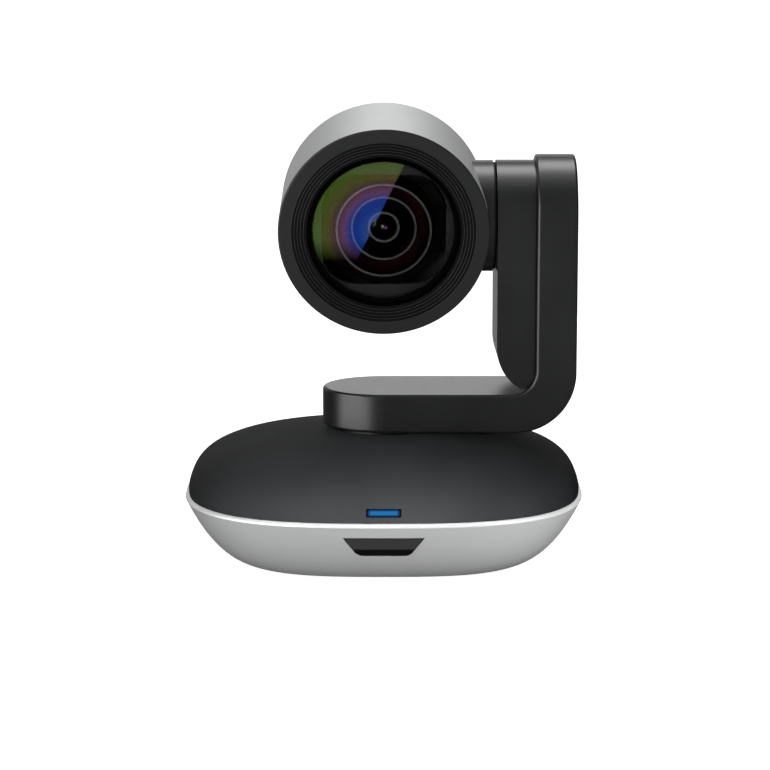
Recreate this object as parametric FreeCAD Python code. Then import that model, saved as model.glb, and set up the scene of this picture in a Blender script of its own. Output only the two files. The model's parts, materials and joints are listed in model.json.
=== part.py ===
import FreeCAD, Part
import os
from math import acos, cos, pi, radians, sin, sqrt, tan

os.makedirs("parts", exist_ok=True)
V = FreeCAD.Vector

# Frame: millimetres, +Z up, front faces -Y, origin on the pan axis at the underside of the feet.

# Base
BASE_HALF_X = 65.3
BASE_HALF_Y = 65.0
BASE_WALL = 2.0
BOWL_FLOOR_Z = 1.0
BOWL_WIDEST_Z = 21.6
RIM_Z = 22.8
RIM_SHARE = 0.983
BOWL_FLOOR_SHARE = 0.62
DOME_RISE = 19.4
DOME_P = 2.09
DOME_Q = 2.68
BOARD_Z = 6.4
BOARD_TOP_Z = 8.0
USB_HALF_HEIGHT = 2.3
JACK_HALF_HEIGHT = 4.2
THREAD_R = 3.2
THREAD_LENGTH = 6.0

# Arm
ARM_HALF_WIDTH = 20.2
FOOT_BOTTOM_Z = 43.0
FOOT_TOP_Z = 55.6
COLUMN_IN_X = 49.3
COLUMN_OUT_X = 62.4
OUTER_BEND_R = 19.7
INNER_BEND_R = 8.0
ARM_WALL = 2.0
ARM_EDGE_R = 1.0

# Tilt axis and head
TILT_Z = 112.0
REST_TILT_DEG = 10.0
HEAD_R = 33.95
FACE_S = 21.7
SHELL_FRONT_S = 21.2
SHELL_TURN_S = -15.0
BACK_CURVE_R = 17.16
CAP_R = 23.0
HEAD_WALL = 2.0
HUB_R = 18.2
HUB_END_X = 35.6
POD_IN_X = 36.6
POD_OUT_X = 48.8
POD_R = 18.3
AXLE_R = 8.0

# Gears
MODULE = 0.6
PRESSURE_DEG = 25.0
BACKLASH = 0.12
PAN_GEAR_TEETH = 72
TILT_GEAR_TEETH = 48
PINION_TEETH = 12
PAN_PINION_DEG = 225.0
PINION_SHAFT_R = 0.95
RUNNING = 0.05


def box(x0, x1, y0, y1, z0, z1):
    return Part.makeBox(x1 - x0, y1 - y0, z1 - z0, V(x0, y0, z0))


def rod(radius, z0, z1, x=0.0, y=0.0):
    return Part.makeCylinder(radius, z1 - z0, V(x, y, z0))


def ring(inner, outer, z0, z1, x=0.0, y=0.0):
    return rod(outer, z0, z1, x, y).cut(rod(inner, z0 - 1, z1 + 1, x, y))


def group(solids):
    return Part.makeCompound(solids)


def fuse(first, *others):
    return first.multiFuse(list(others)).removeSplitter()


def rounded_plate(half_x, half_y, corner, z0, z1, x=0.0, y=0.0):
    plate = box(x - half_x, x + half_x, y - half_y, y + half_y, z0, z1)
    upright = [e for e in plate.Edges if abs(e.Vertexes[0].Z - e.Vertexes[1].Z) > 1e-6]
    return plate.makeFillet(corner, upright)


def revolve(edges):
    """Turns a closed outline in the XZ plane about the Z axis."""
    face = Part.Face(Part.Wire(Part.__sortEdges__(edges)))
    return face.revolve(V(0, 0, 0), V(0, 0, 1), 360)


def outline(points):
    """Straight edges through (r, z) points, not closed."""
    ends = [V(r, 0, z) for r, z in points]
    return [Part.LineSegment(a, b).toShape() for a, b in zip(ends, ends[1:])]


def squircle(half_x, half_y, power, z, count=48):
    points = []
    for i in range(count):
        c = cos(2 * pi * i / count)
        s = sin(2 * pi * i / count)
        r = (abs(c / half_x) ** power + abs(s / half_y) ** power) ** (-1 / power)
        points.append(V(r * c, r * s, z))
    curve = Part.BSplineCurve()
    curve.interpolate(Points=points, PeriodicFlag=True)
    return Part.Wire(curve.toShape())


def squircle_block(half_x, half_y, power, z0, z1):
    return Part.Face(squircle(half_x, half_y, power, z0)).extrude(V(0, 0, z1 - z0))


def even_profile(profile, last_deg, count):
    """Points (share of the half-width, z) an even distance apart along a profile."""
    fine = [profile(radians(last_deg * i / 900)) for i in range(901)]
    along = [0.0]
    for (k0, z0), (k1, z1) in zip(fine, fine[1:]):
        along.append(along[-1] + sqrt((BASE_HALF_X * (k1 - k0)) ** 2 + (z1 - z0) ** 2))
    picked = []
    for i in range(count):
        wanted = along[-1] * i / (count - 1)
        nearest = min(range(901), key=lambda j: abs(along[j] - wanted))
        picked.append(fine[nearest])
    return picked


def bowl(shrink, floor_z, top_z):
    """The silver bowl as a solid: a flat floor that sweeps out to its widest line."""

    def profile(angle):
        k = BOWL_FLOOR_SHARE + (1 - BOWL_FLOOR_SHARE) * sin(angle) ** 0.82
        return k, floor_z + (top_z - floor_z) * sin(angle) ** 2

    wires = []
    for k, z in even_profile(profile, 90, 9):
        power = 3.2 - 0.4 * (k - BOWL_FLOOR_SHARE) / (1 - BOWL_FLOOR_SHARE)
        wires.append(squircle(BASE_HALF_X * k - shrink, BASE_HALF_Y * k - shrink, power, z))
    return Part.makeLoft(wires, True, False)


def bowl_lip():
    """The rounded edge from the widest line in to the black cover."""
    wires = []
    for angle in (0, 25, 50, 72, 90):
        k = RIM_SHARE + (1 - RIM_SHARE) * cos(radians(angle))
        z = BOWL_WIDEST_Z + (RIM_Z - BOWL_WIDEST_Z) * sin(radians(angle))
        wires.append(squircle(BASE_HALF_X * k, BASE_HALF_Y * k, 2.8, z))
    return Part.makeLoft(wires, True, False)


def dome(shrink):
    """The black cover as a solid: steep at the rim and almost flat on top."""

    def profile(angle):
        return cos(angle) ** (2 / DOME_P), RIM_Z + (DOME_RISE - shrink) * sin(angle) ** (2 / DOME_Q)

    half_x = BASE_HALF_X * RIM_SHARE - shrink
    half_y = BASE_HALF_Y * RIM_SHARE - shrink
    wires = []
    for k, z in even_profile(profile, 86, 14):
        wires.append(squircle(half_x * k, half_y * k, 2.0 + 0.8 * k, z))
    return Part.makeLoft(wires, True, False)


def gear(teeth, bore, z0, z1, start_deg):
    """A spur gear about the Z axis, with one tooth centred on start_deg."""
    pitch = MODULE * teeth / 2
    base = pitch * cos(radians(PRESSURE_DEG))
    tip = pitch + 0.9 * MODULE
    root = pitch - 1.2 * MODULE
    involute = tan(radians(PRESSURE_DEG)) - radians(PRESSURE_DEG)
    half_at_pitch = pi / (2 * teeth) - BACKLASH / (4 * pitch)
    flank = []
    for i in range(5):
        r = max(base, root) + (tip - max(base, root)) * i / 4
        pressure = acos(min(1.0, base / r))
        flank.append((r, half_at_pitch + involute - tan(pressure) + pressure))
    if root < base:
        flank.insert(0, (root, flank[0][1]))
    points = []
    for tooth in range(teeth):
        centre = radians(start_deg) + 2 * pi * tooth / teeth
        for r, half in flank:
            points.append(V(r * cos(centre - half), r * sin(centre - half), z0))
        for r, half in reversed(flank):
            points.append(V(r * cos(centre + half), r * sin(centre + half), z0))
    points.append(points[0])
    body = Part.Face(Part.makePolygon(points)).extrude(V(0, 0, z1 - z0))
    return body.cut(rod(bore, z0 - 1, z1 + 1))


def turned(shape, axis, degrees):
    placed = shape.copy()
    placed.rotate(V(0, 0, 0), axis, degrees)
    return placed


def moved(shape, x, y, z):
    placed = shape.copy()
    placed.translate(V(x, y, z))
    return placed


def to_tilt_axis(shape):
    """Takes a shape built along Z to the tilt axis, where its Z becomes world X."""
    return moved(turned(shape, V(0, 1, 0), 90), 0, 0, TILT_Z)


def to_head(shape):
    """Takes a shape built with Z along the lens axis and Y up to the head at rest."""
    return moved(turned(shape, V(1, 0, 0), 90 + REST_TILT_DEG), 0, 0, TILT_Z)


def sharp_edges(shape):
    """Edges where two faces meet at an angle, so not the seams between tangent faces."""
    found = []
    for edge in shape.Edges:
        faces = shape.ancestorsOfType(edge, Part.Face)
        if len(faces) != 2:
            continue
        middle = edge.valueAt((edge.FirstParameter + edge.LastParameter) / 2)
        normals = [f.normalAt(*f.Surface.parameter(middle)) for f in faces]
        if abs(normals[0].dot(normals[1])) < 0.9:
            found.append(edge)
    return found


def arm_side_outline(x0, x1, radius, low_z):
    """The column seen from the side: straight edges and a round top on the tilt axis."""
    column = box(x0, x1, -radius, radius, low_z, TILT_Z)
    top = Part.makeCylinder(radius, x1 - x0, V(x0, 0, TILT_Z), V(1, 0, 0))
    return column.fuse(top).removeSplitter()


def arm_top_outline(z0, z1, radius, high_x):
    """The foot seen from above: straight edges and a round end on the pan axis."""
    foot = box(0, high_x, -radius, radius, z0, z1)
    return foot.fuse(rod(radius, z0, z1)).removeSplitter()


def arm_profile(inset):
    """The L of the arm seen from the front, inset all round, as a slab in Y."""
    out_x = COLUMN_OUT_X - inset
    in_x = COLUMN_IN_X + inset
    low_z = FOOT_BOTTOM_Z + inset
    high_z = FOOT_TOP_Z - inset
    top_z = TILT_Z + ARM_HALF_WIDTH - inset
    left_x = -ARM_HALF_WIDTH + inset
    outer = OUTER_BEND_R - inset
    inner = INNER_BEND_R + inset
    half = sqrt(0.5)
    corners = [
        V(out_x, 0, low_z + outer),
        V(out_x, 0, top_z),
        V(in_x, 0, top_z),
        V(in_x, 0, high_z + inner),
        V(in_x - inner, 0, high_z),
        V(left_x, 0, high_z),
        V(left_x, 0, low_z),
        V(out_x - outer, 0, low_z),
    ]
    inner_mid = V(in_x - inner * (1 - half), 0, high_z + inner * (1 - half))
    outer_mid = V(out_x - outer * (1 - half), 0, low_z + outer * (1 - half))
    edges = [Part.LineSegment(corners[i], corners[i + 1]).toShape() for i in (0, 1, 2, 4, 5, 6)]
    edges.append(Part.Arc(corners[3], inner_mid, corners[4]).toShape())
    edges.append(Part.Arc(corners[7], outer_mid, corners[0]).toShape())
    face = Part.Face(Part.Wire(Part.__sortEdges__(edges)))
    face.translate(V(0, -30, 0))
    return face.extrude(V(0, 60, 0))


def arm_solid(inset):
    radius = ARM_HALF_WIDTH - inset
    plan = arm_top_outline(0, 200, radius, 80)
    side = arm_side_outline(-40, 80, radius, 0)
    return arm_profile(inset).common(plan).common(side)


nodes = {}

# ---------------------------------------------------------------- base, outside
bowl_solid = fuse(bowl(0, BOWL_FLOOR_Z, BOWL_WIDEST_Z), bowl_lip())
bowl_cavity = bowl(BASE_WALL, BOWL_FLOOR_Z + 1.5, BOWL_WIDEST_Z)
lip_cavity = squircle_block(63.0, 62.7, 2.8, BOWL_WIDEST_Z - 3, RIM_Z + 1)
floor_opening = squircle_block(37.0, 37.0, 3.2, -1, 6)
recess_block = box(-23.5, 23.5, 49.5, 75, 6.0, 18.4).common(bowl(1.0, BOWL_FLOOR_Z, BOWL_WIDEST_Z))
recess_void = box(-22, 22, 51.0, 75, 7.2, 17.2)
panel_window = box(-20, 20, 45, 52, 7.8, 16.6)


def ir_outline(half_top, half_low, low_z, high_z, corner, y0, y1):
    """The receiver window's trapezoid, wide at the top, with rounded lower corners."""
    points = [V(-half_top, y0, high_z), V(half_top, y0, high_z), V(half_low, y0, low_z)]
    points += [V(-half_low, y0, low_z), V(-half_top, y0, high_z)]
    prism = Part.Face(Part.makePolygon(points)).extrude(V(0, y1 - y0, 0))
    lower = [
        e
        for e in prism.Edges
        if abs(e.Vertexes[0].Y - e.Vertexes[1].Y) > 1e-6 and e.Vertexes[0].Z < low_z + 0.1
    ]
    return prism.makeFillet(corner, lower)


ir_hole = ir_outline(12.8, 8.1, 11.4, 18.1, 3.0, -80, -50)
ir_body = ir_outline(12.65, 8.0, 11.55, 17.95, 2.9, -80, -50)
lower_shell = bowl_solid.cut(bowl_cavity).cut(lip_cavity).cut(floor_opening)
lower_shell = lower_shell.fuse(recess_block).cut(recess_void).cut(panel_window).cut(ir_hole)
nodes["base_lower_shell"] = lower_shell.removeSplitter()
ir_front = ir_body.common(bowl(0.2, BOWL_FLOOR_Z, BOWL_WIDEST_Z))
nodes["ir_window"] = ir_front.cut(bowl(2.2, 2.5, BOWL_WIDEST_Z))
nodes["rear_panel"] = box(-22, 22, 51.0, 52.5, 7.2, 17.2)

dome_outer = dome(0)
cover = dome_outer.cut(dome(BASE_WALL)).fuse(
    squircle_block(62.8, 62.5, 2.8, RIM_Z - 2.6, RIM_Z + 0.4).cut(
        squircle_block(61.2, 60.9, 2.8, RIM_Z - 3, RIM_Z + 1)
    )
)
led_slot = box(-5.45, 5.45, -70, -58.0, 24.75, 27.35)
nodes["base_top_cover"] = cover.cut(rod(16.5, 30, 45)).cut(led_slot).removeSplitter()
led_pipe = box(-5.15, 5.15, -70, -58.0, 25.05, 27.05)
nodes["led_lens"] = led_pipe.common(dome(0.25))
nodes["front_board"] = fuse(
    box(-9, 9, -52.6, -51.2, 10.0, 28.5),
    box(-3.2, 3.2, -56.4, -52.6, 12.0, 17.4),
    box(-3.0, 3.0, -57.9, -52.6, 25.0, 27.0),
)

plate = squircle_block(36.8, 36.8, 3.2, BOWL_FLOOR_Z, 2.5)
post_spots = [(31, 0), (0, 31), (-31, 0), (0, -31)]
plate = plate.cut(rod(THREAD_R + 2.3, 0, 5))
for x, y in post_spots:
    plate = plate.cut(rod(1.5, 0, 5, x, y))
nodes["bottom_plate"] = plate
insert = ring(THREAD_R, THREAD_R + 2.3, BOWL_FLOOR_Z, BOWL_FLOOR_Z + THREAD_LENGTH)
insert_head = ring(THREAD_R, 8.0, 2.5, 3.7)
insert_cap = rod(THREAD_R + 2.3, BOWL_FLOOR_Z + THREAD_LENGTH, BOWL_FLOOR_Z + THREAD_LENGTH + 1)
nodes["tripod_insert"] = fuse(insert, insert_head, insert_cap)
foot_spots = [(x, y) for x in (-26, 26) for y in (-26, 26)]
feet = []
for x, y in foot_spots:
    foot = rod(5.5, 0, BOWL_FLOOR_Z, x, y)
    feet.append(foot.makeFillet(0.4, [foot.Edges[-1]]))
nodes["rubber_feet"] = group(feet)
screws = []
for x, y in post_spots:
    screws.append(fuse(rod(2.4, 0.25, BOWL_FLOOR_Z, x, y), rod(1.5, BOWL_FLOOR_Z, 7, x, y)))
nodes["bottom_screws"] = group(screws)

# ---------------------------------------------------------------- base, inside
board_spacers = [rod(2.2, 2.5, BOARD_Z, x, y) for x in (-24, 24) for y in (12, 30)]
chassis_posts = [rod(3, 2.5, 15, x, y).cut(rod(1.5, 2, 7, x, y)) for x, y in post_spots]
nodes["base_standoffs"] = group(chassis_posts + board_spacers)
board = rounded_plate(30, 19, 6, BOARD_Z, BOARD_TOP_Z, 0, 27)
nodes["main_board"] = board.cut(rod(3.4, 5, 12, 0, 31))
chip_spots = [(-16, -4, 12, 24, 1.2), (8, 18, 12, 20, 1.0), (10, 16, 24, 30, 1.0), (-22, -17, 28, 33, 1.8)]
chip_spots.append((20, 25, 34, 39, 2.4))
chips = [box(x0, x1, y0, y1, BOARD_TOP_Z, BOARD_TOP_Z + h) for x0, x1, y0, y1, h in chip_spots]
nodes["board_chips"] = group(chips)
usb_z = BOARD_TOP_Z + USB_HALF_HEIGHT
jack_z = BOARD_TOP_Z + JACK_HALF_HEIGHT
usb = rounded_plate(5.2, USB_HALF_HEIGHT, 1.6, 0, 14)
usb = usb.cut(rounded_plate(4.5, 1.63, 1.2, 6, 15)).fuse(box(-3.3, 3.3, -0.35, 0.35, 5, 13))
usb = moved(turned(usb, V(1, 0, 0), -90), -9, 38.8, usb_z)
nodes["usb_socket"] = usb
jack = rounded_plate(4.6, JACK_HALF_HEIGHT, 0.6, 0, 14).cut(rod(2.9, 5, 15))
jack = moved(turned(jack, V(1, 0, 0), -90), 9, 38.8, jack_z)
jack_pin = moved(turned(rod(1.0, 4.9, 12.6), V(1, 0, 0), -90), 9, 38.8, jack_z)
nodes["power_jack"] = jack.fuse(jack_pin)
lock_hole = box(16.0, 19.2, 45, 60, 8.7, 15.7)
usb_hole = rounded_plate(5.2, USB_HALF_HEIGHT, 1.6, 0, 20)
usb_hole = moved(turned(usb_hole, V(1, 0, 0), -90), -9, 38.8, usb_z)
jack_hole = rounded_plate(4.6, JACK_HALF_HEIGHT, 0.6, 0, 20)
jack_hole = moved(turned(jack_hole, V(1, 0, 0), -90), 9, 38.8, jack_z)
nodes["rear_panel"] = nodes["rear_panel"].cut(usb_hole).cut(jack_hole).cut(lock_hole)

chassis = rounded_plate(36, 36, 12, 15, 17).cut(rod(15, 14, 18))
pinion_x = MODULE * (PAN_GEAR_TEETH + PINION_TEETH) / 2 * cos(radians(PAN_PINION_DEG))
pinion_y = MODULE * (PAN_GEAR_TEETH + PINION_TEETH) / 2 * sin(radians(PAN_PINION_DEG))
nodes["chassis_plate"] = chassis.cut(rod(1.6, 14, 18, pinion_x, pinion_y))
nodes["pan_bush"] = ring(12.5 + RUNNING, 15, 15, 17)
nodes["pan_motor"] = rod(10, 3.5, 15, pinion_x, pinion_y).cut(
    rod(PINION_SHAFT_R + RUNNING, 5, 16, pinion_x, pinion_y)
)
wall = ring(31, 33, 17, 26)
lid = ring(21, 33, 24, 26)
seat = ring(18.5, 21, 24, 34)
nodes["pan_housing"] = fuse(wall, lid, seat)
nodes["pan_bearing_outer_ring"] = ring(16.8, 18.5, 26, 33).cut(
    Part.makeTorus(15.5, 1.55, V(0, 0, 29.5))
)

# ---------------------------------------------------------------- pan body
nodes["pan_shaft"] = ring(9.5, 12.5, 15.2, FOOT_BOTTOM_Z)
nodes["pan_gear"] = gear(PAN_GEAR_TEETH, 12.5, 18.5, 22.5, PAN_PINION_DEG)
balls = [ring(12.5, 14.2, 26, 33).cut(Part.makeTorus(15.5, 1.5, V(0, 0, 29.5)))]
for i in range(18):
    angle = 2 * pi * i / 18
    balls.append(Part.makeSphere(1.5, V(15.5 * cos(angle), 15.5 * sin(angle), 29.5)))
nodes["pan_bearing_inner_ring_and_balls"] = group(balls)
nodes["pan_collar"] = ring(12.5, 16.0, 37.0, FOOT_BOTTOM_Z)
arm_outer = arm_solid(0)
arm_outer = arm_outer.makeFillet(ARM_EDGE_R, sharp_edges(arm_outer))
cavity = arm_solid(ARM_WALL)
side_ledge = arm_side_outline(60.9, 70, 18.7, 66)
side_way = arm_side_outline(56, 70, 17.3, 68)
bottom_ledge = arm_top_outline(30, 44.5, 18.7, 40)
bottom_way = arm_top_outline(30, 48, 17.3, 38)
shell = arm_outer.cut(cavity).cut(side_ledge).cut(side_way).cut(bottom_ledge).cut(bottom_way)
axle_way = Part.makeCylinder(12.0, 6, V(47, 0, TILT_Z), V(1, 0, 0))
tilt_pinion_z = TILT_Z - MODULE * (TILT_GEAR_TEETH + PINION_TEETH) / 2
pinion_way = Part.makeCylinder(2.0, 6, V(47, 0, tilt_pinion_z), V(1, 0, 0))
nodes["arm_shell"] = shell.cut(axle_way).cut(pinion_way)
nodes["arm_side_cover"] = arm_side_outline(60.9, COLUMN_OUT_X, 18.6, 66.1)
nodes["arm_bottom_cover"] = arm_top_outline(FOOT_BOTTOM_Z, 44.5, 18.6, 39.9).cut(rod(9.5, 40, 50))
bend = Part.makeCylinder(7.5, 10, V(49, -5, 56.5), V(0, 1, 0))
bend = bend.cut(Part.makeCylinder(7.0, 12, V(49, -6, 56.5), V(0, 1, 0))).common(box(49, 57, -5, 5, 49, 56.5))
nodes["arm_flex_cable"] = fuse(bend, box(2, 49, -5, 5, 49, 49.5), box(56, 56.5, -5, 5, 56.5, 84))


def pod_block(inset, x0, x1):
    """The gearbox housing: round about the tilt axis, its lower end swept in to the arm."""
    left = POD_IN_X + inset
    tip_z = 57.4 + inset
    curve_z = 71.0
    top_z = TILT_Z + POD_R + 1
    bend = Part.BezierCurve()
    poles = [(left, curve_z), (left, 63.6), (41.0 + inset, 59.0 + inset), (44.6, tip_z)]
    bend.setPoles([V(x, 0, z) for x, z in poles])
    edges = [bend.toShape()]
    edges += outline([(44.6, tip_z), (55, tip_z), (55, top_z), (left, top_z), (left, curve_z)])
    face = Part.Face(Part.Wire(Part.__sortEdges__(edges)))
    face.translate(V(0, -30, 0))
    slab = face.extrude(V(0, 60, 0))
    return slab.common(arm_side_outline(x0, x1, POD_R - inset, 40))


pod_outer = pod_block(0, POD_IN_X, POD_OUT_X)
clear_of_arm = arm_solid(-0.35)
pod_core = pod_block(1.8, POD_IN_X + 1.8, 60)
pod_foot = pod_block(1.0, 46.0, COLUMN_IN_X)
pod = pod_outer.cut(clear_of_arm).fuse(pod_foot.cut(arm_solid(0))).cut(pod_core)
bearing_way = Part.makeCylinder(11.0, 6, V(35, 0, TILT_Z), V(1, 0, 0))
nodes["tilt_pod"] = pod.cut(bearing_way).removeSplitter()
nodes["tilt_bearing"] = to_tilt_axis(
    fuse(ring(AXLE_R + RUNNING, 11.0, POD_IN_X, 40.6), ring(AXLE_R + RUNNING, 13.0, 38.4, 40.6))
)
tilt_can = rod(9, COLUMN_IN_X + ARM_WALL, 60.4).cut(rod(PINION_SHAFT_R + RUNNING, 51, 58))
nodes["tilt_motor"] = moved(turned(tilt_can, V(0, 1, 0), 90), 0, 0, tilt_pinion_z)

# ---------------------------------------------------------------- pinions
pan_pinion = gear(PINION_TEETH, PINION_SHAFT_R, 18.0, 23.0, PAN_PINION_DEG + 180 + 180 / PINION_TEETH)
pan_pinion = moved(pan_pinion.fuse(rod(PINION_SHAFT_R, 7, 23.0)), pinion_x, pinion_y, 0)
nodes["pan_pinion"] = pan_pinion
tilt_gear = gear(TILT_GEAR_TEETH, AXLE_R, 42.0, 45.5, 0)
tilt_pinion = gear(PINION_TEETH, PINION_SHAFT_R, 41.4, 46.1, 180 + 180 / PINION_TEETH)
tilt_pinion = tilt_pinion.fuse(rod(PINION_SHAFT_R, 41.4, 56.0))
nodes["tilt_pinion"] = moved(turned(tilt_pinion, V(0, 1, 0), 90), 0, 0, tilt_pinion_z)

# ---------------------------------------------------------------- head, outside
turn_r = HEAD_R - BACK_CURVE_R
cap_s = SHELL_TURN_S - sqrt(BACK_CURVE_R**2 - (CAP_R - turn_r) ** 2)
inner_r = BACK_CURVE_R - HEAD_WALL
inner_cap_s = SHELL_TURN_S - sqrt(inner_r**2 - (CAP_R - turn_r) ** 2)


def back_arc(radius, start_r, end_r):
    """An arc of the head's rounded back, between two distances from the lens axis."""

    def at(r):
        return V(r, 0, SHELL_TURN_S - sqrt(max(0.0, radius**2 - (r - turn_r) ** 2)))

    return Part.Arc(at(start_r), at((start_r * 2 + end_r) / 3), at(end_r)).toShape()


shell_edges = [back_arc(BACK_CURVE_R, HEAD_R, CAP_R), back_arc(inner_r, CAP_R, HEAD_R - HEAD_WALL)]
shell_edges += outline([(CAP_R, cap_s), (CAP_R, inner_cap_s)])
shell_edges += outline(
    [
        (HEAD_R - HEAD_WALL, SHELL_TURN_S),
        (HEAD_R - HEAD_WALL, SHELL_FRONT_S),
        (HEAD_R, SHELL_FRONT_S),
        (HEAD_R, SHELL_TURN_S),
    ]
)
hub_way = Part.makeCylinder(HUB_R, 20, V(20, 0, 0), V(1, 0, 0))
nodes["head_shell"] = to_head(revolve(shell_edges).cut(hub_way))

cap_edge = CAP_R - 0.2
back_s = SHELL_TURN_S - BACK_CURVE_R
cap_edges = [back_arc(BACK_CURVE_R, cap_edge, turn_r)]
edge_s = SHELL_TURN_S - sqrt(BACK_CURVE_R**2 - (cap_edge - turn_r) ** 2)
cap_edges += outline([(turn_r, back_s), (0, back_s), (0, back_s + 2), (cap_edge, back_s + 3.6)])
cap_edges += outline([(cap_edge, back_s + 3.6), (cap_edge, edge_s)])
rear_lip = ring(19.0, cap_edge, back_s + 3.0, back_s + 6.0)
rear_flange = ring(20.0, 24.4, back_s + 4.2, back_s + 6.0)
nodes["rear_cap"] = to_head(fuse(revolve(cap_edges), rear_lip, rear_flange))

STEP_COUNT = 5
STEP_OUTER_R = 29.7
STEP_INNER_R = 24.8
STEP_DEPTH = 0.24
EDGE_R = 0.5
bezel_points = [(HEAD_R, SHELL_FRONT_S), (31.9, SHELL_FRONT_S), (31.9, 13.0)]
bezel_points += [(30.2, 13.0), (30.2, 17.2), (STEP_INNER_R, 17.2)]
step_width = (STEP_OUTER_R - STEP_INNER_R) / STEP_COUNT
for i in range(STEP_COUNT, 0, -1):
    low = FACE_S - STEP_DEPTH * i
    bezel_points.append((STEP_OUTER_R - step_width * i, low))
    bezel_points.append((STEP_OUTER_R - step_width * (i - 1), low))
bezel_points += [(STEP_OUTER_R, FACE_S), (HEAD_R - EDGE_R, FACE_S)]
edge_mid = V(HEAD_R - EDGE_R * (1 - sqrt(0.5)), 0, FACE_S - EDGE_R * (1 - sqrt(0.5)))
edge_arc = Part.Arc(V(HEAD_R - EDGE_R, 0, FACE_S), edge_mid, V(HEAD_R, 0, FACE_S - EDGE_R)).toShape()
hub_relief = Part.makeCylinder(HUB_R, 20, V(26.4, 0, 0), V(1, 0, 0))
nodes["front_bezel"] = to_head(revolve(outline(bezel_points) + [edge_arc]).cut(hub_relief))
nodes["front_glass"] = to_head(rod(23.3, 18.5, 19.5))

baffle = fuse(rod(30.1, 15.6, 17.2), ring(22.6, 23.3, 17.2, 18.5))
nodes["lens_baffle"] = to_head(baffle.cut(rounded_plate(20, 18.2, 11.0, 15, 19)).cut(hub_relief))

# ---------------------------------------------------------------- lens block
BARREL_R = 20.5
BARREL_BACK_S = -16.0
cell = fuse(ring(14.8, 15.6, 12.0, 17.9), ring(9.5, 16.6, 9.0, 12.0), ring(10.6, 14.8, 12.0, 14.6))
nodes["lens_cell"] = to_head(cell)
trim_rings = [ring(14.8, 15.45, 17.9, 18.15), ring(10.0, 10.6, 12.0, 15.6), ring(4.4, 5.1, 12.6, 14.2)]
nodes["lens_trim_rings"] = to_head(group(trim_rings))


def lens(radius, back_s, edge_s, crown):
    """A lens flat behind and domed in front."""
    sphere_r = (radius**2 + crown**2) / (2 * crown)
    ball = Part.makeSphere(sphere_r, V(0, 0, edge_s + crown - sphere_r))
    return rod(radius, back_s, edge_s + crown + 1).common(ball.fuse(rod(radius, back_s, edge_s)))


nodes["front_element"] = to_head(lens(14.8, 15.8, 16.4, 1.1))
nodes["second_element"] = to_head(lens(9.5, 9.6, 10.6, 1.6))
nodes["third_element"] = to_head(lens(4.4, 12.6, 13.0, 0.9))
stop = fuse(ring(5.1, 10.0, 12.9, 13.5), ring(4.0, 5.1, 12.2, 12.6), ring(5.1, 6.0, 12.2, 13.5))
nodes["lens_stop"] = to_head(stop)

screw_spots = {"zoom": (0.0, 15.0), "focus": (0.0, -15.0)}
rod_spots = [(15.0, 0.0), (-15.0, 0.0)]
board_posts = [rod(1.3, -21.0, BARREL_BACK_S - 1.5, x, y) for x in (-8.5, 8.5) for y in (-7.5, 7.5)]
barrel = fuse(
    ring(19.0, BARREL_R, BARREL_BACK_S, 9.0),
    ring(9.5, BARREL_R, 7.5, 9.0),
    ring(6.0, BARREL_R, BARREL_BACK_S - 1.5, BARREL_BACK_S),
    *board_posts,
)
for x, y in rod_spots:
    barrel = barrel.cut(rod(1.0, -18, 8, x, y))
for x, y in screw_spots.values():
    barrel = barrel.cut(rod(1.0 + RUNNING, -18, 8, x, y))
nodes["lens_barrel"] = to_head(barrel)
nodes["guide_rods"] = to_head(group([rod(1.0, BARREL_BACK_S - 1.5, 8, x, y) for x, y in rod_spots]))


def carriage(outer, inner, z0, z1, screw):
    """A lens carriage with two rod lugs and one nut lug."""
    lugs = [rod(2.6, z0, z1, x, y) for x, y in rod_spots]
    lugs.append(rod(2.6, z0, z1, *screw))
    arms = [box(-15, 15, -1.6, 1.6, z0, z1)]
    arms.append(box(-1.6, 1.6, min(0, screw[1]), max(0, screw[1]), z0, z1))
    body = rod(outer, z0, z1).multiFuse(lugs + arms).cut(rod(inner, z0 - 1, z1 + 1))
    for x, y in rod_spots:
        body = body.cut(rod(1.0 + RUNNING, z0 - 1, z1 + 1, x, y))
    return body.cut(rod(1.0 + RUNNING, z0 - 1, z1 + 1, *screw)).removeSplitter()


nodes["zoom_carriage"] = to_head(carriage(10.5, 7.5, -1.0, 2.0, screw_spots["zoom"]))
nodes["zoom_lens"] = to_head(lens(7.5, -1.0, 0.4, 1.4))
nodes["focus_carriage"] = to_head(carriage(9.0, 6.0, -13.0, -11.0, screw_spots["focus"]))
nodes["focus_lens"] = to_head(lens(6.0, -13.0, -12.2, 1.0))
for name, (x, y) in screw_spots.items():
    nodes[name + "_screw"] = to_head(rod(1.0, -22.0, 7.5, x, y))
    motor = rod(4.0, -24.0, BARREL_BACK_S - 1.5, x, y)
    nodes[name + "_motor"] = to_head(motor.cut(rod(1.0 + RUNNING, -22.5, -17, x, y)))
nodes["image_sensor"] = to_head(box(-4.5, 4.5, -3.5, 3.5, -21.0, -19.6))
nodes["sensor_board"] = to_head(rounded_plate(11, 10, 1.5, -22.2, -21.0))
mount_plate = ring(BARREL_R, 31.9, 2.0, 4.5).cut(hub_way)
nodes["lens_mount_plate"] = to_head(mount_plate)
nodes["head_board"] = to_head(ring(5.0, 22.5, back_s + 6.0, back_s + 7.2))

# ---------------------------------------------------------------- tilt hub
hub = ring(16.0, HUB_R, 26.5, HUB_END_X)
hub_face = ring(5.0, HUB_R, 33.4, HUB_END_X)
axle = ring(5.0, AXLE_R, 33.4, 46.5)
nodes["tilt_hub"] = to_tilt_axis(fuse(hub, hub_face, axle))
nodes["tilt_gear"] = to_tilt_axis(tilt_gear)

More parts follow.
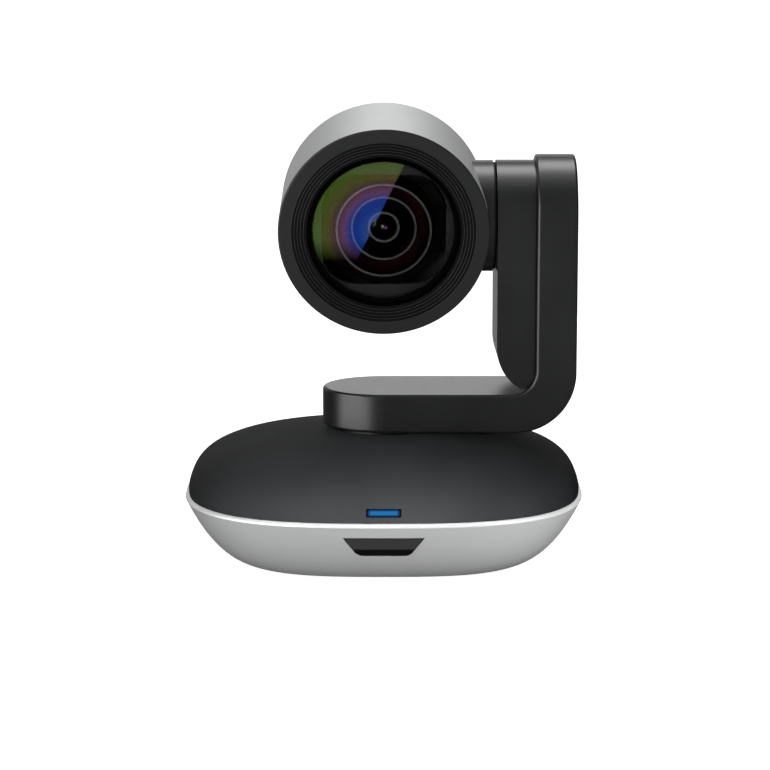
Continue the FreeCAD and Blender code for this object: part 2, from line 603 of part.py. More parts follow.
for name, shape in nodes.items():
    shape.exportStep("parts/" + name + ".step")
    print(name, len(shape.Solids), shape.isValid(), round(shape.Volume, 2), shape.BoundBox)
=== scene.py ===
"""The ptz camera's looks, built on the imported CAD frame."""

import json
from math import cos, pi, radians, sin

import bmesh
import bpy
from mathutils import Matrix, Vector


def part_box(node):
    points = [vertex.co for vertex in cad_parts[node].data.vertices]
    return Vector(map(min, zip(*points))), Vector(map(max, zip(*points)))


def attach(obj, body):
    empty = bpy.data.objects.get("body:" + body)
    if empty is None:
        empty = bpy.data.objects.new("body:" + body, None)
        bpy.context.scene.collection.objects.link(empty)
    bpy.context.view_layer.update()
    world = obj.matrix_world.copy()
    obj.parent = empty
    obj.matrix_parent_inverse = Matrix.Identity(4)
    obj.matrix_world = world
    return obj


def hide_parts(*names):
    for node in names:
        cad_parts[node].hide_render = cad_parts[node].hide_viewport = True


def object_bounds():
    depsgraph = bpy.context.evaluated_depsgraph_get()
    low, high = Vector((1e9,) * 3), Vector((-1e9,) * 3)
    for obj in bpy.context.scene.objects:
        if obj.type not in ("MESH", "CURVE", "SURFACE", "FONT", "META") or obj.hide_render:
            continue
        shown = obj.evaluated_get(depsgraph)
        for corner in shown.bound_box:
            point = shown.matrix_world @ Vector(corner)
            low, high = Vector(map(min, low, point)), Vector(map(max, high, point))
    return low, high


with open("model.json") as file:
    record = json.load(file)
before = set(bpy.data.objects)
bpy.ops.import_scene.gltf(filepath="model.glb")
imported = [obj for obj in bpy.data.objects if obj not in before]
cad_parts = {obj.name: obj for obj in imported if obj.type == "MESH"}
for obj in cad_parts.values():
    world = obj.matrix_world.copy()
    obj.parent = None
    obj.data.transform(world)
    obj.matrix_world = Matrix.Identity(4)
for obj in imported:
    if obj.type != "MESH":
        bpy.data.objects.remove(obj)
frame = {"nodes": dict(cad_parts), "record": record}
cad_box = [list(corner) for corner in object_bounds()]
nodes = frame["nodes"]

MM = 0.001
TILT_CENTRE = Vector((0, 0, 0.112))
REST_TILT = radians(10)
# Takes a point with Z along the lens axis and Y up to its place in the frame.
HEAD = Matrix.Translation(TILT_CENTRE) @ Matrix.Rotation(pi / 2 + REST_TILT, 4, "X")

# The front ring's face and its fine steps, in millimetres along and out from the lens axis.
FACE_S = 21.7
STEP_COUNT = 5
STEP_DEPTH = 0.24
STEP_OUTER_R = 29.7
STEP_INNER_R = 24.8
STEP_LIP_R = 0.11

# The window, the clear part inside its printed border and its face, in the same millimetres, and the
# share of light that its coating reflects.
WINDOW_R = 23.3
WINDOW_CLEAR_R = 22.9
WINDOW_FACE_S = 19.5
WINDOW_REFLECT = 0.20

# The black ring on the hub's end that puts painted shade in its gap to the pod, in millimetres: its radii,
# and its start and end before the pod's near side.
GAP_SHADE_INNER_R = 16.2
GAP_SHADE_OUTER_R = 17.5
GAP_SHADE_START = 1.2
GAP_SHADE_END = 0.3

# The base screws and the tripod thread, in millimetres.
SCREW_HEAD_R = 2.4
SCREW_SHANK_R = 1.5
SCREW_TIP_Z = 7.0
THREAD_PITCH = 1.27
THREAD_START_Z = 1.3
THREAD_ROOT_R = 3.21
THREAD_CREST_R = 2.93

# Heights in metres: the status light's middle, and where the receiver window changes from glossy black to a
# satin grey that is painted reflection.
LIGHT_BAR_Z = 0.02605
GLOSS_TOP_Z = 0.0137
SATIN_BOTTOM_Z = 0.0140

# The coating: (distance from the lens axis in millimetres, colour of its reflection).
COATING = [
    (4.4, (0.010, 0.012, 0.020)),
    (4.9, (0.10, 0.26, 0.95)),
    (8.5, (0.025, 0.14, 0.92)),
    (10.8, (0.07, 0.14, 0.80)),
    (12.8, (0.40, 0.19, 0.50)),
    (14.6, (0.31, 0.14, 0.26)),
    (16.4, (0.24, 0.17, 0.13)),
    (18.0, (0.30, 0.28, 0.07)),
    (19.6, (0.23, 0.30, 0.06)),
    (21.5, (0.18, 0.35, 0.040)),
    (23.2, (0.17, 0.31, 0.06)),
]
# The blackened metal behind the window, with painted reflection: its faint red rings stand in for what the
# elements' coatings throw on it: (distance from the lens axis in millimetres, colour).
INTERIOR_WITH_PAINTED_REFLECTION = [
    (4.0, (0.0030, 0.0035, 0.0040)),
    (5.6, (0.0006, 0.0004, 0.0004)),
    (7.0, (0.0030, 0.0004, 0.0004)),
    (9.6, (0.0020, 0.0004, 0.0004)),
    (11.0, (0.0100, 0.0006, 0.0006)),
    (13.0, (0.0150, 0.0009, 0.0010)),
    (14.6, (0.0060, 0.0006, 0.0006)),
    (15.7, (0.0008, 0.0008, 0.0008)),
]


# ---------------------------------------------------------------- node helpers
class Graph:
    """A material's node tree, with short calls for the nodes used here."""

    def __init__(self, name):
        self.material = bpy.data.materials.new(name)
        self.material.use_nodes = True
        self.tree = self.material.node_tree
        self.tree.nodes.clear()
        self.output = self.node("ShaderNodeOutputMaterial")

    @classmethod
    def over(cls, tree):
        """The same calls on a tree that exists already."""
        made = cls.__new__(cls)
        made.tree = tree
        return made

    def node(self, kind, **settings):
        made = self.tree.nodes.new(kind)
        for key, value in settings.items():
            setattr(made, key, value)
        return made

    def link(self, source, target):
        self.tree.links.new(source, target)

    def coordinates(self):
        return self.node("ShaderNodeTexCoord").outputs["Object"]

    def split(self, vector=None):
        """The X, Y and Z outputs of a vector, or else of the object's own coordinates."""
        made = self.node("ShaderNodeSeparateXYZ")
        self.link(vector or self.coordinates(), made.inputs["Vector"])
        return made.outputs

    def noise(self, scale, detail=2.0, roughness=0.5, vector=None):
        made = self.node("ShaderNodeTexNoise")
        made.inputs["Scale"].default_value = scale
        made.inputs["Detail"].default_value = detail
        made.inputs["Roughness"].default_value = roughness
        self.link(vector or self.coordinates(), made.inputs["Vector"])
        return made.outputs["Fac"]

    def ramp(self, value, stops):
        made = self.node("ShaderNodeValToRGB")
        elements = made.color_ramp.elements
        while len(elements) < len(stops):
            elements.new(0.5)
        for element, (position, colour) in zip(elements, stops):
            element.position = position
            element.color = (*colour, 1.0)
        self.link(value, made.inputs["Fac"])
        return made.outputs["Color"]

    def span(self, value, low, high, out_low, out_high):
        """Maps a value from one range to another, held at the ends."""
        made = self.node("ShaderNodeMapRange")
        made.inputs["From Min"].default_value = low
        made.inputs["From Max"].default_value = high
        made.inputs["To Min"].default_value = out_low
        made.inputs["To Max"].default_value = out_high
        self.link(value, made.inputs["Value"])
        return made.outputs["Result"]

    def math(self, operation, a, b):
        made = self.node("ShaderNodeMath", operation=operation)
        for socket, value in zip(made.inputs, (a, b)):
            if isinstance(value, (int, float)):
                socket.default_value = value
            else:
                self.link(value, socket)
        return made.outputs["Value"]

    def bump(self, height, strength, distance):
        made = self.node("ShaderNodeBump")
        made.inputs["Strength"].default_value = strength
        made.inputs["Distance"].default_value = distance
        self.link(height, made.inputs["Height"])
        return made.outputs["Normal"]

    def surface(self, **values):
        made = self.node("ShaderNodeBsdfPrincipled")
        for key, value in values.items():
            socket = made.inputs[key.replace("_", " ")]
            if isinstance(value, bpy.types.NodeSocket):
                self.link(value, socket)
            else:
                socket.default_value = value
        return made.outputs["BSDF"]

    def finish(self, shader):
        self.link(shader, self.output.inputs["Surface"])
        return self.material


# The height in metres that a full bump stands for.
BUMP_DEPTH = 0.00003
# The scale of the fine spark texture, in grains to a metre.
SPARK_GRAIN = 2600


def grey(value):
    return (value, value, value)


def grey4(value):
    return (value, value, value, 1.0)


def textured_plastic(name, base, rough, grain=0.35, level=0.4):
    """Moulded plastic: fine spark texture, slow colour drift, roughness that follows the grain."""
    g = Graph(name)
    fine = g.noise(SPARK_GRAIN, 3.0, 0.6)
    slow = g.noise(45, 2.0)
    low = tuple(c * 0.88 for c in base)
    high = tuple(c * 1.12 for c in base)
    shader = g.surface(
        Base_Color=g.ramp(slow, [(0.3, low), (0.7, high)]),
        Roughness=g.span(fine, 0.3, 0.7, rough - 0.05, rough + 0.05),
        Normal=g.bump(fine, grain, BUMP_DEPTH),
        Specular_IOR_Level=level,
    )
    return g.finish(shader)


def silver_paint(name, shade_tone=1.0):
    """Satin silver paint over plastic: flake speckle and a slight orange peel; a tone below one makes a
    darker copy of the paint, as painted shade.
    """
    g = Graph(name)
    flake = g.noise(5200, 1.0, 0.4)
    peel = g.noise(700, 2.0)
    low = tuple(c * shade_tone for c in (0.60, 0.605, 0.61))
    high = tuple(c * shade_tone for c in (0.72, 0.725, 0.73))
    colour = g.ramp(flake, [(0.30, low), (0.72, high)])
    roughness = g.span(flake, 0.3, 0.7, 0.34, 0.46)
    normal = g.bump(peel, 0.12, BUMP_DEPTH)
    shader = g.surface(Base_Color=colour, Metallic=0.7, Roughness=roughness, Normal=normal)
    return g.finish(shader)


def metal(name, base, rough, grain=0.15):
    """Machined or pressed metal, with fine marks along one direction."""
    g = Graph(name)
    mapping = g.node("ShaderNodeMapping")
    mapping.inputs["Scale"].default_value = (1.0, 1.0, 12.0)
    g.link(g.coordinates(), mapping.inputs["Vector"])
    marks = g.noise(900, 2.0, 0.6, mapping.outputs["Vector"])
    low = tuple(c * 0.86 for c in base)
    colour = g.ramp(marks, [(0.3, low), (0.7, base)])
    roughness = g.span(marks, 0.3, 0.7, rough - 0.06, rough + 0.08)
    normal = g.bump(marks, grain, 0.00002)
    shader = g.surface(Base_Color=colour, Metallic=1.0, Roughness=roughness, Normal=normal)
    return g.finish(shader)


def circuit_board(name):
    """Green board with a square network of tracks."""
    g = Graph(name)
    cells = g.node("ShaderNodeTexVoronoi", distance="CHEBYCHEV")
    cells.inputs["Scale"].default_value = 420
    g.link(g.coordinates(), cells.inputs["Vector"])
    tracks = cells.outputs["Distance"]
    colour = g.ramp(tracks, [(0.35, (0.008, 0.055, 0.022)), (0.5, (0.02, 0.13, 0.05))])
    normal = g.bump(tracks, 0.2, BUMP_DEPTH)
    return g.finish(g.surface(Base_Color=colour, Roughness=0.42, Normal=normal))


def radius_from_axis(g):
    """The distance in millimetres from the lens axis at rest, as a node value."""
    place = HEAD.inverted()
    shifted = g.node("ShaderNodeMapping", vector_type="POINT")
    shifted.inputs["Location"].default_value = place.translation
    shifted.inputs["Rotation"].default_value = place.to_euler()
    g.link(g.coordinates(), shifted.inputs["Vector"])
    split = g.split(shifted.outputs["Vector"])
    squares = [g.math("POWER", split[axis], 2.0) for axis in ("X", "Y")]
    return g.math("MULTIPLY", g.math("SQRT", g.math("ADD", *squares), 0.0), 1 / MM)


def mixed(g, fac, first, second):
    """A blend of two shaders, by a number or by a node value."""
    made = g.node("ShaderNodeMixShader")
    if isinstance(fac, float):
        made.inputs["Fac"].default_value = fac
    else:
        g.link(fac, made.inputs["Fac"])
    g.link(first, made.inputs[1])
    g.link(second, made.inputs[2])
    return made.outputs["Shader"]


def clear_with_gloss(g, colour, rough, reflect):
    """Lets light straight through, with a thin coloured reflection on top."""
    gloss = g.node("ShaderNodeBsdfGlossy")
    gloss.inputs["Roughness"].default_value = rough
    g.link(colour, gloss.inputs["Color"])
    clear = g.node("ShaderNodeBsdfTransparent")
    return mixed(g, reflect, clear.outputs["BSDF"], gloss.outputs["BSDF"])


def radial(g, stops):
    """A colour by distance from the lens axis, from (millimetres, colour) stops."""
    share = g.math("DIVIDE", radius_from_axis(g), WINDOW_R)
    return g.ramp(share, [(radius / WINDOW_R, colour) for radius, colour in stops])


def black_print_and_gap_shade(g):
    """Dead black, for printed borders, and as painted shade for the depths of a gap."""
    return g.surface(Base_Color=grey4(0.0015), Roughness=0.9, Specular_IOR_Level=0.0)


def by_radius(g, edge, inside, outside):
    """One shader nearer the lens axis than edge, in millimetres, and another beyond it."""
    soft = 0.06
    beyond = g.span(radius_from_axis(g), edge - soft, edge + soft, 0.0, 1.0)
    return mixed(g, beyond, inside, outside)


def coated_window(name):
    """The front window: clear and coated inside a printed black border."""
    g = Graph(name)
    clear = clear_with_gloss(g, radial(g, COATING), 0.002, WINDOW_REFLECT)
    return g.finish(by_radius(g, WINDOW_CLEAR_R, clear, black_print_and_gap_shade(g)))


def baffle_grey(name):
    """The plate around the lens: dark grey behind the window, and black where it meets the ring as painted
    shade in the gap there.
    """
    g = Graph(name)
    grain = g.noise(SPARK_GRAIN, 3.0, 0.6)
    colour = g.ramp(grain, [(0.3, grey(0.018)), (0.7, grey(0.022))])
    plate = g.surface(Base_Color=colour, Roughness=0.6, Specular_IOR_Level=0.2)
    # Black beyond the clear part is painted shade in the gap to the ring.
    return g.finish(by_radius(g, WINDOW_CLEAR_R - 0.2, plate, black_print_and_gap_shade(g)))


def front_ring(name):
    """The ring round the window: satin black outside, darker over the fine steps as painted shade in their
    recess.
    """
    g = Graph(name)
    grain = g.noise(SPARK_GRAIN, 3.0, 0.6)
    normal = g.bump(grain, 0.3, BUMP_DEPTH)
    pale = g.ramp(grain, [(0.3, (0.0095, 0.0100, 0.0112)), (0.7, (0.0118, 0.0122, 0.0136))])
    satin = g.surface(Base_Color=pale, Roughness=0.42, Normal=normal, Specular_IOR_Level=0.4)
    # The darker colour over the steps is painted shade for their recess.
    dark = g.ramp(grain, [(0.3, grey(0.0030)), (0.7, grey(0.0042))])
    steps = g.surface(Base_Color=dark, Roughness=0.5, Normal=normal, Specular_IOR_Level=0.04)
    return g.finish(by_radius(g, STEP_OUTER_R - 0.05, steps, satin))


def lens_glass(name, tint, reflect, rough=0.03):
    """A lens element that lets light through and reflects in its coating's colour."""
    g = Graph(name)
    colour = g.ramp(g.noise(60, 1.0), [(0.3, tuple(c * 0.8 for c in tint)), (0.7, tint)])
    return g.finish(clear_with_gloss(g, colour, rough, reflect))


def lens_interior_with_painted_reflection(name):
    """Blackened metal behind the first element, with a painted reflection: faint red rings for what its
    coating throws on it.
    """
    g = Graph(name)
    # The red in these colours is painted reflection, not the metal's own colour.
    colour = radial(g, INTERIOR_WITH_PAINTED_REFLECTION)
    roughness = g.span(g.noise(SPARK_GRAIN, 3.0, 0.6), 0.3, 0.7, 0.5, 0.6)
    return g.finish(g.surface(Base_Color=colour, Roughness=roughness, Specular_IOR_Level=0.02))


def light_bar(name):
    """The status light: brightest along the middle, dark blue at its rounded ends and edges."""
    g = Graph(name)
    split = g.split()
    aside = g.math("ABSOLUTE", split["X"], 0.0)
    above = g.math("ABSOLUTE", g.math("SUBTRACT", split["Z"], LIGHT_BAR_Z), 0.0)
    in_length = g.span(aside, 0.0038, 0.0050, 1.0, 0.0)
    in_height = g.span(above, 0.00035, 0.00095, 1.0, 0.0)
    edge, fading, middle = (0.0, 0.006, 0.030), (0.002, 0.06, 0.22), (0.004, 0.175, 0.44)
    lit = g.math("MULTIPLY", in_length, in_height)
    shader = g.surface(
        Base_Color=grey4(0.004),
        Roughness=0.25,
        Emission_Color=g.ramp(lit, [(0.0, edge), (0.35, fading), (1.0, middle)]),
        Emission_Strength=1.0,
    )
    return g.finish(shader)


def receiver_window(name):
    """Dark infrared plastic: a satin upper part, its grey a painted reflection of the surroundings, over a
    glossy black lower part.
    """
    g = Graph(name)
    upper = g.span(g.split()["Z"], GLOSS_TOP_Z, SATIN_BOTTOM_Z, 0.0, 1.0)
    grain = g.noise(SPARK_GRAIN, 3.0, 0.6)
    # The upper part's lighter grey is painted reflection of the surroundings.
    pale = g.ramp(grain, [(0.3, grey(0.017)), (0.7, grey(0.021))])
    satin = g.surface(Base_Color=pale, Roughness=0.5, Specular_IOR_Level=0.3)
    dark = g.ramp(grain, [(0.3, grey(0.002)), (0.7, grey(0.003))])
    gloss = g.surface(Base_Color=dark, Roughness=0.3, Specular_IOR_Level=0.05)
    return g.finish(mixed(g, upper, gloss, satin))


# ---------------------------------------------------------------- the looks of the frame's nodes
black = textured_plastic("black_satin", (0.0105, 0.0110, 0.0120), 0.33, grain=0.25, level=0.6)
cover_black = textured_plastic("black_cover", (0.0120, 0.0125, 0.0132), 0.78, level=0.12)
# The step lips wear a lighter black than the ring: real rounded lips that catch light, with a painted
# highlight in their colour.
step_edge_highlight = textured_plastic("black_step_edge_highlight", (0.016, 0.017, 0.018), 0.35, level=0.3)
matte_black = textured_plastic("lens_matte_black", (0.004, 0.004, 0.0045), 0.6, level=0.2)
rubber = textured_plastic("rubber_feet_black", (0.010, 0.010, 0.010), 0.75, grain=0.6)
acetal = textured_plastic("white_acetal", (0.70, 0.70, 0.67), 0.4)
chip = textured_plastic("chip_black", (0.012, 0.012, 0.013), 0.5)
film = textured_plastic("flex_film", (0.30, 0.12, 0.02), 0.35)
silver = silver_paint("silver_paint")
steel = metal("steel", (0.55, 0.56, 0.57), 0.30)
dark_steel = textured_plastic("black_painted_steel", (0.012, 0.012, 0.013), 0.45, grain=0.5)
aluminium = metal("aluminium", (0.72, 0.73, 0.74), 0.35)
brass = metal("brass", (0.72, 0.50, 0.20), 0.28)
bronze = metal("bronze", (0.50, 0.30, 0.14), 0.35)
trim = metal("lens_trim", (0.13, 0.13, 0.13), 0.30, grain=0.05)

LOOKS = {
    "silver_paint": silver,
    "black_plastic": black,
    "dark_window": receiver_window("receiver_window"),
    "blue_light": light_bar("light_bar"),
    "circuit_board": circuit_board("circuit_board"),
    "chip_black": chip,
    "steel": steel,
    "dark_steel": dark_steel,
    "brass": brass,
    "rubber": rubber,
    "aluminium": aluminium,
    "motor_steel": steel,
    "white_acetal": acetal,
    "bearing_bronze": bronze,
    "flex": film,
    "clear_glass": lens_glass("inner_lens", (0.20, 0.30, 0.60), 0.004),
    "lens_black": matte_black,
    "trim_metal": trim,
    "sensor": chip,
}
OWN_LOOKS = {
    # The bowl wears a darker copy of the same silver paint: painted shade that balances its own lamps.
    "base_lower_shell": silver_paint("silver_bowl_shaded_copy", 0.58),
    "base_top_cover": cover_black,
    "front_bezel": front_ring("front_ring"),
    "front_glass": coated_window("coated_window"),
    "front_element": lens_glass("front_element", (0.55, 0.08, 0.06), 0.006),
    "second_element": lens_glass("second_element", (0.60, 0.10, 0.06), 0.004),
    "third_element": lens_glass("third_element", (0.80, 0.85, 0.80), 0.05, 0.12),
    "lens_baffle": baffle_grey("baffle_grey"),
    "lens_cell": lens_interior_with_painted_reflection("lens_interior_with_painted_reflection"),
    "lens_stop": lens_interior_with_painted_reflection("lens_stop_with_painted_reflection"),
}


def wear(node, material):
    """Gives one of the frame's nodes its material."""
    data = nodes[node].data
    data.materials.clear()
    data.materials.append(material)


for part in frame["record"]["subparts"]:
    wear(part["node"], OWN_LOOKS.get(part["node"], LOOKS[part["material_slot"]]))


# ---------------------------------------------------------------- pieces added to the frame
def link_object(obj):
    bpy.context.scene.collection.objects.link(obj)
    return obj


def piece(name, bm, body, material, place=None):
    """A finished mesh piece that rides on a body, from a bmesh in metres."""
    bmesh.ops.recalc_face_normals(bm, faces=bm.faces)
    mesh = bpy.data.meshes.new(name)
    if place:
        bm.transform(place)
    bm.to_mesh(mesh)
    bm.free()
    for face in mesh.polygons:
        face.use_smooth = True
    mesh.materials.append(material)
    made = link_object(bpy.data.objects.new(name, mesh))
    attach(made, body)
    return made


def turned(bm, radius, height, share):
    """A vertex at a radius and height in millimetres, a share of a full turn about Z."""
    angle = 2 * pi * share
    return bm.verts.new((radius * cos(angle) * MM, radius * sin(angle) * MM, height * MM))


def lathe(bm, outline, steps=256):
    """Turns a closed outline of (radius, height) points in millimetres about Z."""
    rings = [[turned(bm, r, z, i / steps) for r, z in outline] for i in range(steps)]
    count = len(outline)
    for ring, following in zip(rings, rings[1:] + rings[:1]):
        for j in range(count):
            k = (j + 1) % count
            bm.faces.new((ring[j], following[j], following[k], ring[k]))


def bead(bm, radius, height, thickness):
    """A thin eight-sided bead about Z, its radii and height in millimetres."""
    turns = [2 * pi * i / 8 for i in range(8)]
    lathe(bm, [(radius + thickness * cos(t), height + thickness * sin(t)) for t in turns])


def bezel_step_highlight_edges():
    """The rounded lip of each fine step down to the window, drawn in a lighter black as a painted
    highlight.
    """
    bm = bmesh.new()
    for i in range(STEP_COUNT):
        radius = STEP_OUTER_R - (STEP_OUTER_R - STEP_INNER_R) * i / STEP_COUNT
        bead(bm, radius, FACE_S - STEP_DEPTH * i, STEP_LIP_R)
    piece("bezel_step_highlight_edges", bm, "camera_head", step_edge_highlight, HEAD)


def hub_gap_shade_ring():
    """A thin black ring on the hub's end, painted shade that closes the view through its gap to the pod."""
    pod_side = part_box("tilt_pod")[0][0] / MM
    start, end = pod_side - GAP_SHADE_START, pod_side - GAP_SHADE_END
    outline = [(GAP_SHADE_INNER_R, start), (GAP_SHADE_OUTER_R, start), (GAP_SHADE_OUTER_R, end), (GAP_SHADE_INNER_R, end)]
    bm = bmesh.new()
    lathe(bm, outline, 128)
    place = Matrix.Translation(TILT_CENTRE) @ Matrix.Rotation(pi / 2, 4, "Y")
    piece("hub_gap_shade_ring", bm, "camera_head", matte_black, place)


def tripod_thread():
    """The thread's ridge, wound up the inside of the brass insert."""
    turns, steps = 4, 64
    half_root, half_crest = 0.42, 0.08
    outline = [
        (THREAD_ROOT_R, -half_root),
        (THREAD_CREST_R, -half_crest),
        (THREAD_CREST_R, half_crest),
        (THREAD_ROOT_R, half_root),
    ]
    bm = bmesh.new()
    rows = []
    for i in range(turns * steps + 1):
        z = THREAD_START_Z + THREAD_PITCH * i / steps
        rows.append([turned(bm, r, z + offset, i / steps) for r, offset in outline])
    for low, high in zip(rows, rows[1:]):
        for j in range(4):
            k = (j + 1) % 4
            bm.faces.new((low[j], high[j], high[k], low[k]))
    bm.faces.new(rows[0])
    bm.faces.new(rows[-1])
    piece("tripod_thread", bm, "base", brass)


def bottom_screws():
    """The four base screws, with rounded heads and a real cross recess in each."""
    # From the tip along the shank, then round the head to the rim of its flat face.
    outline = [
        (SCREW_SHANK_R, SCREW_TIP_Z),
        (SCREW_SHANK_R, 1.0),
        (SCREW_HEAD_R, 1.0),
        (SCREW_HEAD_R, 0.55),
        (2.15, 0.30),
        (1.7, 0.25),
    ]
    steps = 48
    bm = bmesh.new()
    low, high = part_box("bottom_screws")
    reach = (high[0] - low[0]) / 2 / MM - SCREW_HEAD_R
    for x, y in [(reach, 0), (0, reach), (-reach, 0), (0, -reach)]:
        new = bmesh.new()
        rings = [[turned(new, r, z, i / steps) for i in range(steps)] for r, z in outline]
        tip = new.verts.new((0, 0, SCREW_TIP_Z * MM))
        for i in range(steps):
            k = (i + 1) % steps
            new.faces.new((tip, rings[0][i], rings[0][k]))
            for ring, following in zip(rings, rings[1:]):
                new.faces.new((ring[i], following[i], following[k], ring[k]))
        cross_recess(new, rings[-1])
        bmesh.ops.translate(new, verts=new.verts, vec=(x * MM, y * MM, 0))
        mesh = bpy.data.meshes.new("one_screw")
        new.to_mesh(mesh)
        new.free()
        bm.from_mesh(mesh)
        bpy.data.meshes.remove(mesh)
    made = piece("bottom_screws_crossed", bm, "base", steel)
    for face in made.data.polygons:
        face.use_smooth = False
    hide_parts("bottom_screws")


def cross_recess(bm, rim):
    """Closes a screw head's face with a cross-shaped recess in the middle."""
    arm, half, deep = 1.15 * MM, 0.30 * MM, 0.75 * MM
    taper = 0.8
    face_z = rim[0].co.z
    corners = [(arm, -half), (arm, half), (half, half)]
    cross = []
    for quarter in range(4):
        c, s = round(cos(quarter * pi / 2)), round(sin(quarter * pi / 2))
        cross += [(x * c - y * s, x * s + y * c) for x, y in corners]
    upper = [bm.verts.new((x, y, face_z)) for x, y in cross]
    lower = [bm.verts.new((x * taper, y * taper, face_z + deep)) for x, y in cross]
    edges = []
    for loop in (rim, upper):
        for a, b in zip(loop, loop[1:] + loop[:1]):
            edges.append(bm.edges.get((a, b)) or bm.edges.new((a, b)))
    bmesh.ops.triangle_fill(bm, edges=edges, use_beauty=True)
    inside = [f for f in bm.faces if all(v in upper for v in f.verts)]
    bmesh.ops.delete(bm, geom=inside, context="FACES_ONLY")
    for i in range(len(upper)):
        k = (i + 1) % len(upper)
        bm.faces.new((upper[i], upper[k], lower[k], lower[i]))
    bm.faces.new(lower)


bezel_step_highlight_edges()
hub_gap_shade_ring()
tripod_thread()
bottom_screws()


# ---------------------------------------------------------------- stage
def floor():
    """A wide pale floor just under the part, that neither lights it nor shows in it."""
    half, drop = 60.0, 0.0002
    corners = [(-half, -half, 0), (half, -half, 0), (half, half, 0), (-half, half, 0)]
    mesh = bpy.data.meshes.new("floor")
    mesh.from_pydata(corners, [], [(0, 1, 2, 3)])
    made = link_object(bpy.data.objects.new("floor", mesh))
    g = Graph("pale_floor")
    shader = g.surface(
        Base_Color=g.ramp(g.noise(3.0, 1.0), [(0.3, grey(0.90)), (0.7, grey(0.93))]),
        Roughness=0.9,
        Specular_IOR_Level=0.1,
        Emission_Color=(1, 1, 1, 1),
        Emission_Strength=0.85,
    )
    # Seen from below the floor is clear, so that the underside can be looked at.
    clear = g.node("ShaderNodeBsdfTransparent").outputs["BSDF"]
    below = g.node("ShaderNodeNewGeometry").outputs["Backfacing"]
    mesh.materials.append(g.finish(mixed(g, below, shader, clear)))
    made.location.z = cad_box[0][2] - drop
    made.visible_glossy = False
    made.visible_diffuse = False
    made.visible_shadow = False


def softbox(name, centre, aim, width, height, power, spread=180):
    """A rectangular lamp in metres and watts, that shines at a point and shows in glossy surfaces alone."""
    lamp = bpy.data.lights.new(name, "AREA")
    lamp.shape = "RECTANGLE"
    lamp.size = width
    lamp.size_y = height
    lamp.energy = power
    lamp.spread = radians(spread)
    made = link_object(bpy.data.objects.new(name, lamp))
    made.location = centre
    made.rotation_euler = (Vector(aim) - Vector(centre)).to_track_quat("-Z", "Y").to_euler()
    made.visible_camera = False
    made.visible_diffuse = False
    return made


def only_lights(obj, names):
    """Limits what a light or a bright card falls on to the named nodes."""
    group = bpy.data.collections.new(obj.name + "_falls_on")
    for name in names:
        group.objects.link(nodes[name])
    obj.light_linking.receiver_collection = group


def matte_only(lamp, names):
    """Makes a softbox light the named nodes' matte share, without its mirror image in them."""
    lamp.visible_diffuse = True
    lamp.visible_glossy = False
    only_lights(lamp, names)


# The studio's surroundings, as large soft lights: the way each lies, how tightly it is gathered, its
# strength. One set is what glossy surfaces mirror, the other is what lights matte ones.
MIRRORED = [
    ((0.0, 0.0, 1.0), 12.0, 1.20),
    ((0.0, 0.97, 0.25), 30.0, 1.29),
    ((-0.6, 0.8, 0.2), 20.0, 0.35),
    ((-0.7, -0.7, 0.3), 12.0, 0.99),
    ((0.0, 1.0, -0.12), 50.0, 0.8),
]
MATTE = [
    ((0.0, 0.0, 1.0), 4.0, 0.52),
    ((0.0, 0.9, 0.4), 4.0, 1.0),
    ((0.0, -1.0, 0.0), 4.0, 2.15),
    ((0.8, -0.5, 0.2), 4.0, 1.76),
    ((0.0, -0.6, -0.8), 4.0, 4.07),
]


def sum_of_lights(g, direction, lights):
    """The brightness of the surroundings in one direction, as a node value."""
    total = 0.0
    for way, gathered, strength in lights:
        facing = g.node("ShaderNodeVectorMath", operation="DOT_PRODUCT")
        facing.inputs[1].default_value = Vector(way).normalized()
        g.link(direction, facing.inputs[0])
        lobe = g.math("POWER", g.math("MAXIMUM", facing.outputs["Value"], 0.0), gathered)
        total = g.math("ADD", g.math("MULTIPLY", lobe, strength), total)
    return total


def surroundings():
    """The world: one set of lights for matte rays and another for all the rest."""
    world = bpy.data.worlds.new("studio")
    bpy.context.scene.world = world
    world.use_nodes = True
    g = Graph.over(world.node_tree)
    direction = g.node("ShaderNodeTexCoord").outputs["Generated"]
    matte_ray = g.node("ShaderNodeLightPath").outputs["Is Diffuse Ray"]
    blend = g.node("ShaderNodeMix", data_type="FLOAT")
    g.link(matte_ray, blend.inputs["Factor"])
    g.link(sum_of_lights(g, direction, MIRRORED), blend.inputs["A"])
    g.link(sum_of_lights(g, direction, MATTE), blend.inputs["B"])
    g.link(blend.outputs["Result"], g.tree.nodes["Background"].inputs["Color"])


def glass_card():
    """A bright card in front of the window that only the window's coating picks up."""
    away = WINDOW_FACE_S + 120.0
    corners = [(-34.0, -46.0), (-10.4, -46.0), (12.7, 2.0), (-34.0, 2.0)]
    bm = bmesh.new()
    bm.faces.new([bm.verts.new((x * MM, y * MM, away * MM)) for x, y in corners])
    mesh = bpy.data.meshes.new("glass_card")
    bm.to_mesh(mesh)
    bm.free()
    g = Graph("card_light")
    # The card fades in over its lowest eight millimetres.
    strength = g.span(g.split()["Y"], -0.0455, -0.0375, 0.0, 0.60)
    light = g.node("ShaderNodeEmission")
    g.link(strength, light.inputs["Strength"])
    mesh.materials.append(g.finish(light.outputs["Emission"]))
    card = link_object(bpy.data.objects.new("glass_card", mesh))
    card.matrix_world = HEAD
    only_lights(card, ["front_glass"])
    card.visible_camera = False
    card.visible_diffuse = False
    card.visible_shadow = False
    card.visible_transmission = False


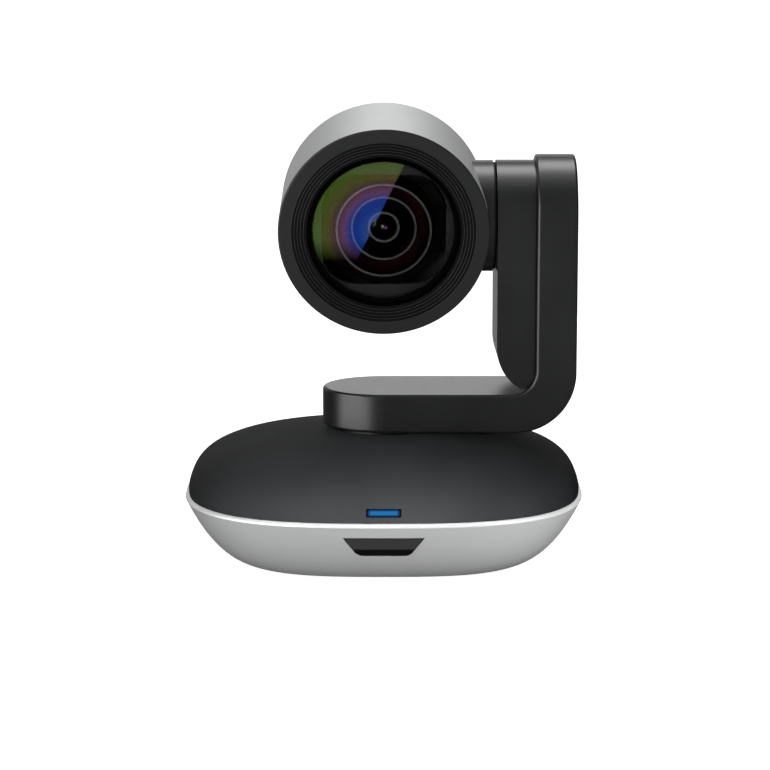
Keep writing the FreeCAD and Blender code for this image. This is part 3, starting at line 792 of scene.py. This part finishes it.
def lens_lamps():
    """Small lamps for the lens alone: one along its trim rings and three tiny glints in its middle."""
    trim_lamp = softbox(
        "trim_lamp", (-0.060, -0.30, 0.05), TILT_CENTRE, width=0.08, height=0.12, power=0.45
    )
    only_lights(trim_lamp, ["lens_trim_rings"])
    # Each glint's name, its place across and above a point low in front of the lens, and its colour.
    glints = [
        ("white", (-0.012, 0.006), (1.0, 1.0, 1.0)),
        ("rose", (0.026, -0.012), (1.0, 0.25, 0.35)),
        ("blue", (0.012, -0.004), (0.2, 0.25, 1.0)),
    ]
    away, base_z = -0.20, 0.022
    for label, (x, z), colour in glints:
        lamp = bpy.data.lights.new("glint_" + label, "POINT")
        lamp.energy = 0.15
        lamp.color = colour
        lamp.shadow_soft_size = 0.010
        made = link_object(bpy.data.objects.new("glint_" + label, lamp))
        made.location = (x, away, base_z + z)
        made.visible_camera = False
        only_lights(made, ["third_element"])


def cover_lamp():
    """A soft beam from low in front, on the middle of the dark cover alone."""
    lamp = softbox(
        "cover_lamp", (0.0, -1.0, 0.25), (0, -0.062, 0.022), width=0.05, height=0.05, power=0.12, spread=9
    )
    matte_only(lamp, ["base_top_cover"])


def bowl_lamps():
    """Soft light from above the front and sides, for the silver bowl alone and without its mirror image."""
    lamps = [
        softbox("bowl_lamp_front", (0.0, -0.90, 0.56), (0, -0.05, 0.015), 0.5, 0.4, 24.0),
        softbox("bowl_lamp_left", (-0.85, -0.45, 0.50), (-0.05, 0, 0.015), 0.4, 0.4, 24.0),
        softbox("bowl_lamp_right", (0.85, -0.45, 0.50), (0.05, 0, 0.015), 0.4, 0.4, 44.0),
    ]
    for lamp in lamps:
        matte_only(lamp, ["base_lower_shell"])


floor()
surroundings()
glass_card()
lens_lamps()
cover_lamp()
bowl_lamps()
softbox("top_softbox", (0.0, 0.34, 0.95), (0, 0, 0.05), 0.7, 0.45, 4.86)
softbox("left_softbox", (-0.68, -0.42, 0.12), (0, 0, 0.06), 1.0, 0.8, 7.7)

camera_data = bpy.data.cameras.new("camera")
camera = link_object(bpy.data.objects.new("camera", camera_data))
camera_data.lens = 115.98
camera_data.sensor_width = 36.0
camera.location = (0.0004, -0.8116, 0.1899)
camera.rotation_euler = (radians(90 - 9.393), 0, 0)
bpy.context.scene.camera = camera
bpy.context.scene.view_settings.view_transform = "Standard"
